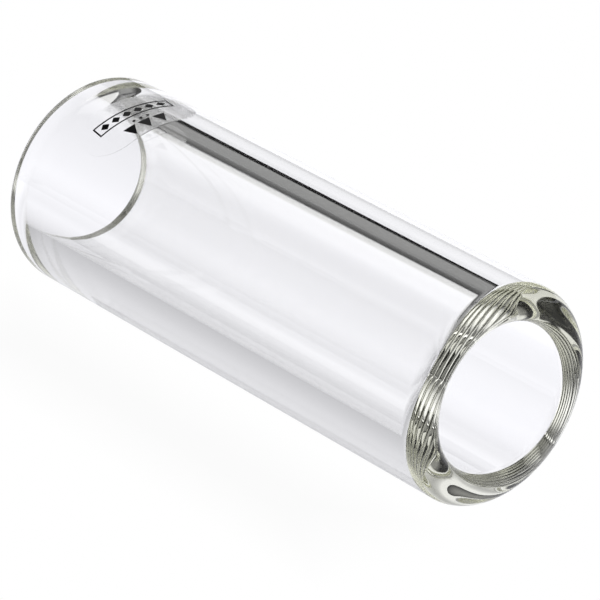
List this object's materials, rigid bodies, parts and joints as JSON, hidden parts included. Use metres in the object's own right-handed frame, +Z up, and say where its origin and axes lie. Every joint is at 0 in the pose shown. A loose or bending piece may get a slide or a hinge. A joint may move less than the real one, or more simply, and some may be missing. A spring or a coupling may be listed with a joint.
{
  "type": "guitar slide",
  "caption": "Thick-walled clear glass tube with rounded rims, worn on a finger and slid along guitar strings; a small printed mark on clear film near one end.",
  "frame": {"origin": "middle of the finger bore, on its axis, halfway along the tube", "axes": "+X along the bore, from the printed end towards the plain end; +Z up, with the tube lying on its side"},
  "size_m": [0.07, 0.025, 0.0251],
  "materials": {
    "clear_glass": "drawn borosilicate glass, fire-polished rims",
    "clear_film": "thin clear transfer film, slightly milky",
    "black_ink": "screen-printed black ink, satin"
  },
  "bodies": {
    "root": {"glass_tube": "clear_glass", "label_film": "clear_film", "printed_mark": "black_ink"}
  },
  "joints": []
}
